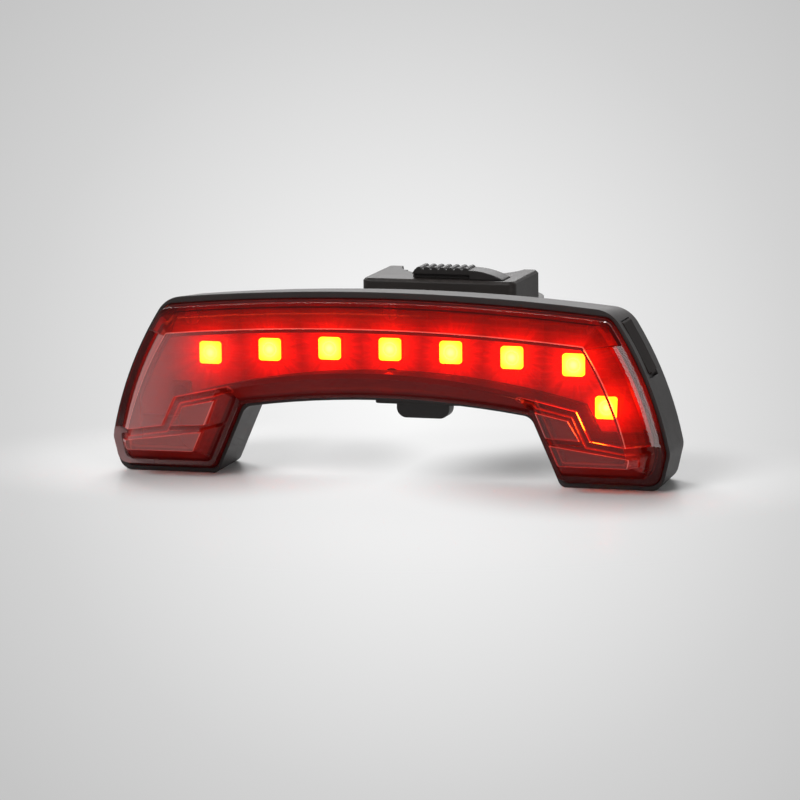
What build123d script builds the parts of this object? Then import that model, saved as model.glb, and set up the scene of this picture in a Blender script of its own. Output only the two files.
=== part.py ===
"""Arch shaped bicycle turn signal light with its seatpost bracket.

The light is a black housing closed by a red faceted lens. Seven lamps sit in a row under the
top of the arch and one more in each leg. A clip on the back of the housing drops into a
socket on the bracket, and the bracket clamps round a seatpost with two screws.

X runs across the light, Y runs from the lens (front, negative) to the seatpost (rear), and Z
is up. The feet of the two legs stand at Z 0, and the origin is under the middle of the part.
Shapes are drawn with Y 0 on the front rim of the housing, and every piece is moved by the
same distance when it is written.
"""

import os
from math import atan2, cos, degrees, hypot, pi, radians, sin, tan

from build123d import *

# Outline of the light, seen from the front
overall_width = 128.8
overall_height = 42.0
shoulder_inset = 26.4
shoulder_drop = 2.6
widest_height = 8.1
foot_taper = 3.8
leg_spread = 49.4
flank_bulge = 1.8
arch_drop = 24.1
arch_radius = 215.0
leg_lean = 23.55
shoulder_round = 7.0
arch_corner_round = 3.0
flank_round = 4.0
foot_round = 3.4
inner_foot_round = 2.0
overrun = 1.0

# Housing
housing_depth = 17.0
housing_wall = 2.2
top_draft = 1.5
flank_draft = 0.7
arch_draft = 0.3
back_bevel = 1.2
foot_trim = 0.05
rim_top = 1.5
rim_flank = 0.9
rim_foot = 1.1
rim_leg = 0.8
rim_arch = 0.7
ledge_width = 2.0
ledge_thickness = 2.0
boss_radius = 2.1
boss_bore = 0.95

# Lens
lens_height = 11.0
lens_wall = 1.9
skirt_depth = 1.7
gasket_thickness = 0.7
gasket_edge = 0.2
lens_seat_clearance = 0.1
wall_height = 2.9
wall_lean_top = 0.6
wall_lean_flank = 0.1
wall_lean_foot = 1.0
wall_lean_leg = 0.2
wall_lean_arch = 0.3
shelf_rise = 0.9
shelf_width_top = 0.1
shelf_width_flank = 1.8
shelf_width_foot = 0.5
shelf_width_leg = 0.5
shelf_width_arch = 1.2
front_inset_top = 5.3
front_inset_flank = 5.7
front_inset_foot = 5.4
front_inset_leg = 3.9
front_inset_arch = 5.8
front_arch_radius = 163.0
hip_drop = 9.6
lens_round = 3.0
front_round = 0.6
groove_width = 1.6
groove_depth = 1.1
block_drop = 0.6
groove_shares = ((0.519, 0.492), (0.707, 0.429), (0.754, 0.274), (1.02, 0.214))
gap_shares = ((0.735, 0.274), (0.560, 0.282))
upper_pad_shares = ((0.570, 0.433), (0.686, 0.395), (0.726, 0.292), (0.604, 0.302))
lower_pad_shares = ((0.619, 0.262), (0.920, 0.200), (0.918, 0.155), (0.650, 0.157))

# Lamps and their board
lamp_row_margin = 30.8
lamp_count = 7
lamp_row_drop = 13.1
lamp_row_radius = 425.0
side_lamp_inset = 15.0
side_lamp_drop = 24.4
lamp_size = 5.0
lamp_height = 1.6
lamp_round = 0.7
well_radius = 1.75
well_depth = 0.5
well_taper = 0.3
board_thickness = 1.6
board_front = 4.6
board_inset = 2.3
board_tuck = 1.8
surround_thickness = 2.0
surround_inset = 2.2
window_drop = 17.9
window_radius = 200.0
window_corner_inset = 19.7
window_corner_drop = 23.9
window_leg_inset = 16.5
window_leg_drop = 29.9
chip_height = 1.1
control_chip_size = 5.0
control_chip_inset = 18.4
control_chip_drop = 22.5
charger_chip_size = 3.4
charger_chip_inset = 20.6
charger_chip_drop = 13.0
receiver_width = 6.0
receiver_length = 8.0
receiver_height = 1.8
receiver_inset = 14.4
receiver_drop = 25.0
antenna_radius = 1.6
antenna_wire = 0.35
antenna_turns = 5
antenna_pitch = 1.1
antenna_inset = 12.2
antenna_drop = 20.2

# Battery cells and their foam pads
cell_end_inset = 24.2
cell_height = 14.0
cell_thickness = 7.2
cell_inner_x = 12.2
cell_drop = 19.8
cell_round = 1.6
pad_thickness = 0.6

# Inside screws
inside_screw_head = 1.6
inside_screw_head_height = 1.0
inside_screw_radius = 0.9
inside_screw_length = 5.5
top_screw_drop = 5.4
side_screw_inset = 18.0
side_screw_drop = 7.7
low_screw_rise = 4.4
driver_slot_width = 0.5
driver_slot_depth = 0.4

# Charging port and its flap on the right flank
flap_length = 12.6
flap_width = 8.0
flap_thickness = 1.2
flap_gap = 0.25
flap_height_share = 0.28
flap_depth = 6.9
finger_notch = 1.0
finger_lip = 0.5
plug_length = 7.2
plug_width = 2.4
plug_reach = 1.0
plug_offset = 0.5
port_length = 8.3
port_width = 3.4
socket_length = 7.4
socket_thickness = 2.6
socket_reach = 5.6
socket_wall = 0.3
tongue_thickness = 0.6
tongue_share = 0.7

# Power button on the back
button_inset = 18.2
button_drop = 15.8
button_radius = 4.4
button_gap = 0.15
button_proud = 0.7
button_flange = 1.0
button_flange_height = 1.0
button_stem_radius = 1.4
button_travel = 0.6
button_round = 0.5
switch_size = 6.0
switch_height = 3.0
plunger_radius = 1.5
plunger_height = 0.7
seal_thickness = 0.5

# Clip on the back of the housing
clip_base_width = 21.0
clip_base_rise = 2.7
clip_base_drop = 5.0
clip_base_thickness = 2.6
tongue_width = 12.4
tongue_depth = 3.8
tongue_front = 28.0
tongue_length = 24.2
bridge_drop = 8.5
bridge_height = 3.5
tongue_round = 2.3
edge_round = 0.6
clip_screw_margin = 2.5
clip_screw_rise = 7.1
clip_screw_head = 2.1
clip_screw_head_height = 1.5
clip_screw_radius = 1.2
clip_screw_length = 8.6
clip_boss_length = 4.4

# Bracket: socket for the clip, neck and saddle
slide_gap = 0.3
socket_cheek = 4.0
socket_front_wall = 3.3
bracket_height = 26.1
saddle_front = 41.0
saddle_width = 36.4
saddle_drop = 2.9
saddle_web = 8.3
saddle_round = 1.6
post_diameter = 27.2
post_clearance = 0.05
grip_pad_thickness = 1.0
grip_pad_seat = 0.03
grip_pad_margin = 1.0
grip_rib_count = 13
grip_rib_depth = 0.3
clamp_wall = 3.5
clamp_gap = 2.0
clamp_height = 17.0
clamp_drop = 10.0
lug_reach = 5.3
lug_height = 12.0
lug_drop = 15.0
lug_thickness = 5.0
saddle_lug_depth = 7.0
clamp_screw_radius = 2.0
clamp_screw_clearance = 0.2
clamp_screw_head = 3.5
clamp_screw_head_height = 2.8
clamp_screw_x = 19.3
hex_key = 1.5
nut_width = 7.0
nut_thickness = 3.2
nut_clearance = 0.05
screw_tip = 1.0
relief_wall = 2.6

# Lock slider on top of the saddle
lock_travel = 4.0
lock_left = -6.6
lock_right = 15.1
lock_ribs_right = 7.0
lock_front = 42.6
lock_depth = 6.2
lock_height = 2.1
lock_low_height = 1.0
lock_floor = 0.7
lock_undercut = 1.0
lock_rib_count = 7
lock_rib_height = 0.55
lock_gap = 0.1
catch_left = 6.8
catch_width = 4.0
catch_thickness = 1.6
catch_clearance = 0.4
key_front = 44.0
key_depth = 1.6
catch_start = 28.4

# Sizes that follow from the ones above
half_width = overall_width / 2
saddle_top = overall_height - saddle_drop
clamp_top = overall_height - clamp_drop
lug_top = overall_height - lug_drop
arch_height = overall_height - arch_drop
bridge_top = overall_height - bridge_drop
shoulder_width = overall_width - shoulder_inset
shoulder_height = overall_height - shoulder_drop
foot_outer_width = overall_width - foot_taper
foot_inner_width = overall_width - leg_spread
hip_height = overall_height - hip_drop
lamp_pitch = (overall_width - lamp_row_margin) / lamp_count
lamp_row_height = overall_height - lamp_row_drop
side_lamp_x = half_width - side_lamp_inset
side_lamp_z = overall_height - side_lamp_drop
window_height = overall_height - window_drop
window_corner_x = half_width - window_corner_inset
window_corner_z = overall_height - window_corner_drop
window_leg_x = half_width - window_leg_inset
window_leg_z = overall_height - window_leg_drop
control_chip_x = half_width - control_chip_inset
control_chip_z = overall_height - control_chip_drop
charger_chip_x = half_width - charger_chip_inset
charger_chip_z = overall_height - charger_chip_drop
receiver_x = receiver_inset - half_width
receiver_z = overall_height - receiver_drop
antenna_x = antenna_inset - half_width
antenna_bottom = overall_height - antenna_drop
cell_length = half_width - cell_end_inset - cell_inner_x
cell_bottom = overall_height - cell_drop
top_screw_z = overall_height - top_screw_drop
side_screw_x = half_width - side_screw_inset
side_screw_z = overall_height - side_screw_drop
low_screw_z = arch_height + low_screw_rise
button_x = button_inset - half_width
button_z = overall_height - button_drop
clip_base_bottom = arch_height + clip_base_rise
clip_base_top = overall_height - clip_base_drop
clip_screw_x = clip_base_width / 2 - clip_screw_margin
clip_screw_z = arch_height + clip_screw_rise
tongue_bottom = bridge_top - tongue_length
bracket_bottom = saddle_top - bracket_height
clamp_bottom = clamp_top - clamp_height
lug_bottom = lug_top - lug_height
lens_front = -lens_height
post_radius = post_diameter / 2
grip_radius = post_radius + post_clearance
seat_radius = grip_radius + grip_pad_thickness + grip_pad_seat
post_y = saddle_front + saddle_web + seat_radius
clamp_radius = seat_radius + clamp_wall
rear_end = post_y + clamp_radius
middle_y = (lens_front + rear_end) / 2
cavity_back = housing_depth - housing_wall
board_back = board_front + board_thickness
lamp_front = board_front - lamp_height
surround_front = board_front - surround_thickness
ledge_front = skirt_depth + gasket_thickness
tongue_back = tongue_front + tongue_depth
bridge_bottom = bridge_top - bridge_height
socket_top = bridge_bottom - slide_gap
socket_front = tongue_front - slide_gap - socket_front_wall
socket_width = tongue_width + 2 * (slide_gap + socket_cheek)
lug_width = saddle_width + 2 * lug_reach
lug_middle = (lug_bottom + lug_top) / 2


def facing(y):
    """Plane that faces the front at depth y, with X across and Z up."""
    return Plane(origin=(0, y, 0), x_dir=(1, 0, 0), z_dir=(0, -1, 0))


def slab(sketch, front, back):
    """Extrude an outline seen from the front between two depths."""
    return extrude(facing(back) * sketch, back - front)


def block(x_range, y_range, z_range):
    """Box between three pairs of limits."""
    (x0, x1), (y0, y1), (z0, z1) = x_range, y_range, z_range
    centre = ((x0 + x1) / 2, (y0 + y1) / 2, (z0 + z1) / 2)
    return Pos(*centre) * Box(x1 - x0, y1 - y0, z1 - z0)


def rod(x, z, radius, front, back):
    """Cylinder along Y between two depths."""
    return slab(Pos(x, z) * Circle(radius), front, back)


def upright(x, y, radius, bottom, top):
    """Cylinder along Z between two heights."""
    return Pos(x, y, (bottom + top) / 2) * Cylinder(radius, top - bottom)


def flank_arc():
    """Centre and radius of the arc of the right flank."""
    x0, z0, x1, z1 = shoulder_width / 2, shoulder_height, overall_width / 2, widest_height
    chord = hypot(x1 - x0, z1 - z0)
    radius = (chord ** 2 / 4 + flank_bulge ** 2) / (2 * flank_bulge)
    reach = (radius - flank_bulge) / chord
    return (x0 + x1) / 2 - (z0 - z1) * reach, (z0 + z1) / 2 - (x1 - x0) * reach, radius


def flank_point(share):
    """Point and outward angle on the right flank, share 0 at the shoulder and 1 at the widest."""
    x0, z0, x1, z1 = shoulder_width / 2, shoulder_height, overall_width / 2, widest_height
    centre_x, centre_z, radius = flank_arc()
    start, end = atan2(z0 - centre_z, x0 - centre_x), atan2(z1 - centre_z, x1 - centre_x)
    angle = start + (end - start) * share
    return centre_x + radius * cos(angle), centre_z + radius * sin(angle), angle


def whole_outline(top, flank, foot):
    """Outline of the light before the arch is taken out, drawn in by three distances."""
    drop = overall_height - shoulder_height
    cap_radius = ((shoulder_width / 2) ** 2 + drop ** 2) / (2 * drop)
    face = Pos(0, overall_height - cap_radius) * Circle(cap_radius - top)
    centre_x, centre_z, radius = flank_arc()
    for side in (-1, 1):
        face &= Pos(side * centre_x, centre_z) * Circle(radius - flank)
    spread = (overall_width - foot_outer_width) / 2 / widest_height
    low = foot_outer_width / 2 - flank * hypot(1, spread) + spread * foot
    tall = overall_height + overrun
    high = low + spread * tall
    keel = Polyline((low, foot), (high, foot + tall), (-high, foot + tall), (-low, foot), close=True)
    return face & make_face(keel)


def arch_outline(leg, rise, radius):
    """Space under the arch, grown by one distance at the legs and another at the top."""
    run = tan(radians(leg_lean))
    foot = foot_inner_width / 2 + leg / cos(radians(leg_lean))
    low, high = -overrun - rise, overall_height
    wedge = make_face(Polyline(
        (foot - run * low, low), (foot - run * high, high),
        (run * high - foot, high), (run * low - foot, low), close=True,
    ))
    return wedge & (Pos(0, arch_height + rise - radius) * Circle(radius))


def arched(insets, rounds, radius=arch_radius):
    """Front outline of the light drawn in at its top, flanks, feet, legs and arch, corners rounded."""
    top, flank, foot, leg, rise = insets
    face = Sketch() + (whole_outline(top, flank, foot) - arch_outline(leg, rise, radius))
    corners = [(v.X, v.Y) for v in face.vertices().sort_by(Axis.Y, reverse=True)]
    feet = sorted(corners[6:10], key=lambda corner: abs(corner[0]), reverse=True)
    groups = (corners[0:2], corners[2:4], corners[4:6], feet[0:2], feet[2:4])
    for group, size in zip(groups, rounds):
        picked = [v for v in face.vertices() if min(hypot(v.X - x, v.Y - z) for x, z in group) < size / 10]
        face = fillet(picked, size)
    return face


def housing_rounds(inset):
    """Corner radii of the housing at an inset from its outside."""
    share = 1 - inset / (overall_height / 2)
    return tuple(share * size for size in
                 (shoulder_round, arch_corner_round, flank_round, foot_round, inner_foot_round))


def housing_ring(inset, draft_share, rounds_inset):
    """Outline of the housing drawn in by a wall and by a share of its draft."""
    side = inset + arch_draft * draft_share
    top, flank = inset + top_draft * draft_share, inset + flank_draft * draft_share
    insets = (top, flank, inset - foot_trim, side, side)
    return arched(insets, housing_rounds(rounds_inset))


def housing_form():
    """Outside of the housing as one solid, with its feet cut flat."""
    bevel_start = housing_depth - back_bevel
    form = loft([
        facing(0) * housing_ring(0, 0, 0),
        facing(bevel_start) * housing_ring(0, 1, 0),
        facing(housing_depth) * housing_ring(back_bevel, 1, back_bevel),
    ], ruled=True)
    wide, high = overall_width, overall_height + overrun
    return form & block((-wide, wide), (-overrun, housing_depth + overrun), (0, high))


def rim_insets(extra):
    """Distances from the outside to the edge of the lens, each grown by extra."""
    return tuple(width + extra for width in (rim_top, rim_flank, rim_foot, rim_leg, rim_arch))


def lens_rounds(share):
    """Corner radii of the lens, from its base (share 1) to its front (share 0)."""
    radius = front_round + (lens_round - front_round) * share
    middle = front_round + (inner_foot_round - front_round) * share
    return (radius, middle, radius, radius, middle)


def rim_outline(extra):
    """Outline of the edge of the lens, drawn in by extra."""
    return arched(rim_insets(extra), lens_rounds(1))


def board_screw_places():
    """Where the screws that hold the lamp board stand."""
    return [(0, top_screw_z), (side_screw_x, side_screw_z), (-side_screw_x, side_screw_z)]


def clip_screw_places():
    """Where the screws that hold the rear clip stand."""
    return [(clip_screw_x, clip_screw_z), (-clip_screw_x, clip_screw_z)]


def flap_plane():
    """Plane on the right flank under the middle of the charging flap, its normal outward."""
    x, z, angle = flank_point(flap_height_share)
    bevel_start = housing_depth - back_bevel
    lean = atan2(flank_draft, bevel_start)
    drop = flank_draft * flap_depth / bevel_start
    out = (cos(angle), 0, sin(angle))
    origin = (x - drop * out[0], flap_depth, z - drop * out[2])
    normal = (out[0] * cos(lean), sin(lean), out[2] * cos(lean))
    depthwise = (-out[0] * sin(lean), cos(lean), -out[2] * sin(lean))
    return Plane(origin=origin, x_dir=depthwise, z_dir=normal)


def port_plane():
    """Plane square to the flank at the depth of the charging socket."""
    x, z, angle = flank_point(flap_height_share)
    drop = flank_draft * flap_depth / (housing_depth - back_bevel)
    out = (cos(angle), 0, sin(angle))
    origin = (x - drop * out[0], board_back + socket_thickness / 2, z - drop * out[2])
    return Plane(origin=origin, x_dir=(0, 1, 0), z_dir=out)


def flap_recess():
    """Pocket in the flank for the flap, with the finger notch at its lower end."""
    width = flap_width + 2 * flap_gap
    upper = flap_length / 2 + flap_gap
    lower = flap_length / 2 + flap_gap + finger_notch
    deep = flap_thickness + lock_gap
    pocket = Pos(0, (upper - lower) / 2, (overrun - deep) / 2) * Box(width, upper + lower, overrun + deep)
    return flap_plane() * pocket


def rear_housing():
    """Black shell with the lens mouth, the ledge behind it, the bosses and the openings."""
    shell = housing_form()
    shell -= slab(rim_outline(-lens_seat_clearance), -overrun, ledge_front)
    shell -= slab(rim_outline(ledge_width), 0, ledge_front + ledge_thickness)
    start = ledge_front + ledge_thickness
    taper_start, taper_end = start / housing_depth, cavity_back / housing_depth
    shell -= loft([
        facing(start) * housing_ring(housing_wall, taper_start, housing_wall),
        facing(cavity_back) * housing_ring(housing_wall, taper_end, housing_wall),
    ], ruled=True)
    for x, z in board_screw_places():
        shell += rod(x, z, boss_radius, board_back, cavity_back + overrun)
        shell -= rod(x, z, boss_bore, board_back, cavity_back)
    shell += rod(0, low_screw_z, boss_radius, board_front, cavity_back + overrun) & housing_form()
    shell -= rod(0, low_screw_z, boss_bore, board_front, cavity_back)
    for x, z in clip_screw_places():
        shell += rod(x, z, boss_radius + clip_screw_radius / 2, cavity_back - clip_boss_length, housing_depth)
        shell -= rod(x, z, clip_screw_radius + boss_bore - inside_screw_radius,
                     cavity_back - clip_boss_length - overrun, housing_depth + overrun)
    shell -= flap_recess()
    hole = Pos(0, -plug_offset, -housing_wall) * Box(port_width, port_length, housing_wall * 2)
    shell -= port_plane() * hole
    shell -= rod(button_x, button_z, button_radius + button_gap, cavity_back - overrun, housing_depth + overrun)
    return shell


def lens_form(shrink, back, with_shelf=True):
    """Solid of the lens with every face moved inward by shrink, from its front to depth back."""
    base = rim_insets(shrink)
    lean = (wall_lean_top, wall_lean_flank, wall_lean_foot, wall_lean_leg, wall_lean_arch)
    shelf = (shelf_width_top, shelf_width_flank, shelf_width_foot, shelf_width_leg, shelf_width_arch)
    front = (front_inset_top, front_inset_flank, front_inset_foot, front_inset_leg, front_inset_arch)
    wall = tuple(a + b for a, b in zip(base, lean))
    inner = tuple(a + b for a, b in zip(wall, shelf))
    sections = [facing(back) * arched(base, lens_rounds(1)), facing(0) * arched(base, lens_rounds(1))]
    sections.append(facing(shrink - wall_height) * arched(wall, lens_rounds(4 / 5)))
    if with_shelf:
        sections.append(facing(shrink - wall_height - shelf_rise) * arched(inner, lens_rounds(1 / 2)))
    edge = tuple(a + b - shrink / 2 for a, b in zip(base, front))
    sections.append(facing(lens_front + shrink) * arched(edge, lens_rounds(0), front_arch_radius))
    return loft(sections, ruled=True)


def both_sides(sketch):
    """The sketch and its mirror image across the middle of the light."""
    return sketch + mirror(sketch, Plane.YZ)


def light_points(shares):
    """Points given as shares of the half width and of the height of the light."""
    return [(x * overall_width / 2, z * overall_height) for x, z in shares]


def lens_outside():
    """Outside of the lens, with the shelf along the flanks below the hips only."""
    high, wide = overall_height * 2, overall_width
    above = block((-wide, wide), (lens_front * 2, -lens_front), (hip_height, high))
    return (lens_form(0, skirt_depth) - above) + (lens_form(0, skirt_depth, False) & above)


def outer_lens():
    """Red faceted shell with its skirt, the leg grooves and the raised pads."""
    whole = lens_outside()
    path = light_points(groove_shares)
    grooves = trace(Polyline(*path), line_width=groove_width)
    grooves += trace(Line(*light_points(gap_shares)), line_width=groove_width / 2)
    wide, low = overall_width / 2 + overrun, -overrun
    block_face = make_face(Polyline(*path, (wide, low), (path[0][0] - overrun, low), close=True))
    pads = make_face(Polyline(*light_points(upper_pad_shares), close=True))
    pads += make_face(Polyline(*light_points(lower_pad_shares), close=True))
    skin = whole - lens_form(groove_depth, skirt_depth)
    thin_skin = whole - lens_form(block_drop, skirt_depth)
    lens = whole - lens_form(lens_wall, skirt_depth + overrun)
    lens -= thin_skin & slab(both_sides(block_face - pads), lens_front - overrun, -wall_height)
    lens -= skin & slab(both_sides(grooves), lens_front - overrun, -wall_height)
    return lens


def lens_gasket():
    """Flat rubber ring between the lens skirt and the ledge of the housing."""
    ring = rim_outline(gasket_edge) - rim_outline(ledge_width - gasket_edge)
    return slab(ring, skirt_depth, ledge_front)


def window_region(grow):
    """Region above the lower edge of the lamp window, grown downward."""
    wide, high = overall_width, overall_height + overrun
    edge = window_corner_x - grow
    low = window_corner_z - grow
    arc = ThreePointArc((-edge, low), (0, window_height - grow), (edge, low))
    right = Polyline((edge, low), (window_leg_x - grow, window_leg_z - grow), (wide, window_leg_z - grow),
                     (wide, high), (-wide, high), (-wide, window_leg_z - grow),
                     (grow - window_leg_x, window_leg_z - grow), (-edge, low))
    return make_face([arc, right])


def lamp_places():
    """Centres of the lamps in the row and of the one in each leg."""
    half = lamp_count // 2
    places = []
    for step in range(-half, half + 1):
        x = step * lamp_pitch
        fall = lamp_row_radius - (lamp_row_radius ** 2 - x ** 2) ** (1 / 2)
        places.append((x, lamp_row_height - fall))
    return places + [(side_lamp_x, side_lamp_z), (-side_lamp_x, side_lamp_z)]


def led_board():
    """Circuit board behind the lamps, with holes for its screws."""
    face = rim_outline(board_inset) & window_region(board_tuck)
    face -= Pos(0, low_screw_z) * Circle(boss_radius + lens_seat_clearance)
    for x, z in board_screw_places():
        face -= Pos(x, z) * Circle(boss_bore + lens_seat_clearance)
    return slab(face, board_front, board_back)


def led_surround():
    """Dark trim below the lamps that hides the edge of the board."""
    face = rim_outline(surround_inset) - window_region(0)
    face -= Pos(0, low_screw_z) * Circle(boss_bore + lens_seat_clearance)
    return slab(face, surround_front, board_front)


def lamp_body():
    """One lamp package with the round well in its face, standing at the origin."""
    face = RectangleRounded(lamp_size, lamp_size, lamp_round)
    body = slab(face, lamp_front, board_front)
    well = Cone(well_radius, well_radius - well_taper, well_depth)
    return body - (facing(lamp_front + well_depth / 2) * Rot(180, 0, 0) * well)


def led_lamps():
    """All the lamp packages."""
    return Compound(children=[Pos(x, 0, z) * lamp_body() for x, z in lamp_places()])


def led_domes():
    """The clear filling in the well of each lamp."""
    radius = well_radius - well_taper - lens_seat_clearance
    return Compound(children=[rod(x, z, radius, lamp_front + lens_seat_clearance, lamp_front + well_depth)
                              for x, z in lamp_places()])


def chip(x, z, width, length, height):
    """Flat component on the back of the board."""
    return block((x - width / 2, x + width / 2), (board_back, board_back + height),
                 (z - length / 2, z + length / 2))


def receiver_antenna():
    """Small upright coil that receives the wireless commands."""
    coil = Helix(pitch=antenna_pitch, height=antenna_pitch * antenna_turns, radius=antenna_radius)
    profile = Plane(origin=coil @ 0, z_dir=coil % 0) * Circle(antenna_wire)
    seat = board_back + antenna_radius + antenna_wire
    return Pos(antenna_x, seat, antenna_bottom) * sweep(profile, path=coil)


def battery_cell(side):
    """Flat battery cell on one side of the middle."""
    x = side * (cell_inner_x + cell_length / 2)
    z = cell_bottom + cell_height / 2
    y = cavity_back - pad_thickness - cell_thickness / 2
    cell = Pos(x, y, z) * Box(cell_length, cell_thickness, cell_height)
    return fillet(cell.edges().filter_by(Axis.Z), cell_round)


def battery_pad(side):
    """Foam pad between a cell and the back wall."""
    x = side * (cell_inner_x + cell_length / 2)
    z = cell_bottom + cell_height / 2
    face = Pos(x, z) * Rectangle(cell_length - 2 * cell_round, cell_height - 2 * pad_thickness)
    return slab(face, cavity_back - pad_thickness, cavity_back)


def slotted_screw(x, z, seat, head_radius, head_height, shank_radius, length):
    """Screw along Y with its head in front of the seat and a cross in the head."""
    screw = rod(x, z, head_radius, seat - head_height, seat) + rod(x, z, shank_radius, seat, seat + length)
    cross = Rectangle(2 * head_radius - driver_slot_width, driver_slot_width)
    cross += Rectangle(driver_slot_width, 2 * head_radius - driver_slot_width)
    front = seat - head_height
    return screw - slab(Pos(x, z) * cross, front - overrun, front + driver_slot_depth)


def inside_screws():
    """Screws that hold the board and the dark trim to the housing."""
    seats = [(x, z, board_front) for x, z in board_screw_places()] + [(0, low_screw_z, surround_front)]
    return Compound(children=[
        slotted_screw(x, z, seat, inside_screw_head, inside_screw_head_height, inside_screw_radius,
                      inside_screw_length)
        for x, z, seat in seats
    ])


def usb_socket():
    """Metal charging socket on the back of the board, open towards the flank."""
    depth_start = housing_wall + lock_gap
    shell = Pos(0, 0, -depth_start - socket_reach / 2) * Box(socket_thickness, socket_length, socket_reach)
    hollow = Box(socket_thickness - 2 * socket_wall, socket_length - 2 * socket_wall, socket_reach - socket_wall)
    shell -= Pos(0, 0, -depth_start - (socket_reach - socket_wall) / 2) * hollow
    bar = Box(tongue_thickness, socket_length * tongue_share, socket_reach * tongue_share)
    shell += Pos(0, 0, -depth_start - socket_reach + socket_reach * tongue_share / 2) * bar
    return port_plane() * Pos(0, -plug_offset, 0) * shell


def usb_flap():
    """Rubber flap with a round hinge end, a finger lip and a plug for the port."""
    half_thick = flap_thickness / 2
    hinge = flap_length / 2 - half_thick
    body_length = hinge + flap_length / 2
    flap = Pos(0, hinge - body_length / 2, -half_thick) * Box(flap_width, body_length, flap_thickness)
    flap += Pos(0, hinge, -half_thick) * Rot(0, 90, 0) * Cylinder(half_thick, flap_width)
    lip = Box(flap_width / 2, finger_lip, half_thick)
    flap += Pos(0, -flap_length / 2 - finger_lip / 2, -half_thick / 2) * lip
    shape = flap_plane() * flap
    plug = Box(plug_width, plug_length, plug_reach + half_thick)
    plug_middle = -flap_thickness + half_thick / 2 - plug_reach / 2
    return shape + port_plane() * Pos(0, -plug_offset, plug_middle) * plug


def flap_hinge():
    """Point on the axis of the flap and the direction of that axis."""
    plane = flap_plane()
    point = plane.from_local_coords(Vector(0, flap_length / 2 - flap_thickness / 2, -flap_thickness / 2))
    return point, plane.x_dir


def power_switch():
    """Switch on the back of the board under the power button."""
    switch = chip(button_x, button_z, switch_size, switch_size, switch_height)
    top = board_back + switch_height
    return switch + rod(button_x, button_z, plunger_radius, top, top + plunger_height)


def power_button():
    """Button through the back wall, with a flange inside and a stem towards the switch."""
    flange_back = cavity_back - seal_thickness
    flange_front = flange_back - button_flange_height
    head = rod(button_x, button_z, button_radius, flange_back, housing_depth + button_proud)
    head = fillet(head.edges().sort_by(Axis.Y)[-1], button_round)
    flange = rod(button_x, button_z, button_radius + button_flange, flange_front, flange_back)
    stem_end = board_back + switch_height + plunger_height + button_travel + lens_seat_clearance
    return head + flange + rod(button_x, button_z, button_stem_radius, stem_end, flange_front)


def button_seal():
    """Rubber ring between the button flange and the back wall."""
    front = cavity_back - seal_thickness + lens_seat_clearance / 2
    ring = rod(button_x, button_z, button_radius + button_flange, front, cavity_back)
    return ring - rod(button_x, button_z, button_radius + button_gap, front - overrun, cavity_back + overrun)


def rear_clip():
    """Clip on the back of the housing: a base plate, a bridge and a hanging tongue."""
    half, tongue = clip_base_width / 2, tongue_width / 2
    base_back = housing_depth + clip_base_thickness
    base = block((-half, half), (housing_depth, base_back), (clip_base_bottom, clip_base_top))
    base = fillet(base.edges().filter_by(Axis.Y), tongue_round)
    bridge = block((-tongue, tongue), (housing_depth, tongue_back), (bridge_bottom, bridge_top))
    hanging = block((-tongue, tongue), (tongue_front, tongue_back), (tongue_bottom, bridge_top))
    low_corners = hanging.edges().filter_by(Axis.Y).sort_by(Axis.Z)[0:2]
    clip = base + bridge + fillet(low_corners, tongue_round)
    for x, z in clip_screw_places():
        clip -= rod(x, z, clip_screw_radius + lens_seat_clearance, housing_depth - overrun, base_back + overrun)
    return clip


def clip_screws():
    """The two screws that hold the rear clip."""
    seat = housing_depth + clip_base_thickness
    screws = []
    for x, z in clip_screw_places():
        screw = slotted_screw(0, 0, 0, clip_screw_head, clip_screw_head_height, clip_screw_radius,
                              clip_screw_length)
        screws.append(Pos(x, seat, z) * Rot(0, 0, 180) * screw)
    return Compound(children=screws)


def saddle_form():
    """Saddle half of the clamp with its lugs, before the post space is cut."""
    half = saddle_width / 2
    tip = post_y - clamp_gap / 2
    saddle = block((-half, half), (saddle_front, tip), (bracket_bottom, saddle_top))
    saddle = fillet(saddle.edges().filter_by(Axis.Z), saddle_round)
    saddle = chamfer(saddle.edges().group_by(Axis.Z)[-1], edge_round)
    lug_half = lug_width / 2
    lugs = block((-lug_half, lug_half), (tip - saddle_lug_depth, tip), (lug_bottom, lug_top))
    lugs = fillet(lugs.edges().filter_by(Axis.Y), saddle_round)
    return saddle + lugs


def bracket():
    """Bracket: socket for the clip, neck, saddle, lugs and the slots for the lock."""
    half = socket_width / 2
    neck_back = saddle_front + saddle_web / 2
    body = block((-half, half), (socket_front, neck_back), (bracket_bottom, socket_top))
    body = fillet(body.edges().filter_by(Axis.Z).sort_by(Axis.Y)[0:2], saddle_round)
    body += saddle_form()
    slot = tongue_width / 2 + slide_gap
    body -= block((-slot, slot), (tongue_front - slide_gap, tongue_back + slide_gap),
                  (bracket_bottom - overrun, socket_top + overrun))
    relief_front = tongue_back + slide_gap + relief_wall
    body -= block((-slot, slot), (relief_front, saddle_front + saddle_web - relief_wall),
                  (bracket_bottom - overrun, socket_top - relief_wall))
    body -= upright(0, post_y, seat_radius, bracket_bottom - overrun, saddle_top + overrun)
    tip = post_y - clamp_gap / 2
    for side in (-1, 1):
        x = side * clamp_screw_x
        body -= rod(x, lug_middle, clamp_screw_radius + clamp_screw_clearance,
                    tip - saddle_lug_depth - overrun, tip + overrun)
        nut_hole = Pos(x, lug_middle) * RegularPolygon(nut_width / 2 + nut_clearance, 6, major_radius=False)
        body -= slab(nut_hole, tip - saddle_lug_depth - overrun, tip - saddle_lug_depth + nut_thickness)
    return body - lock_channel()


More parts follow.
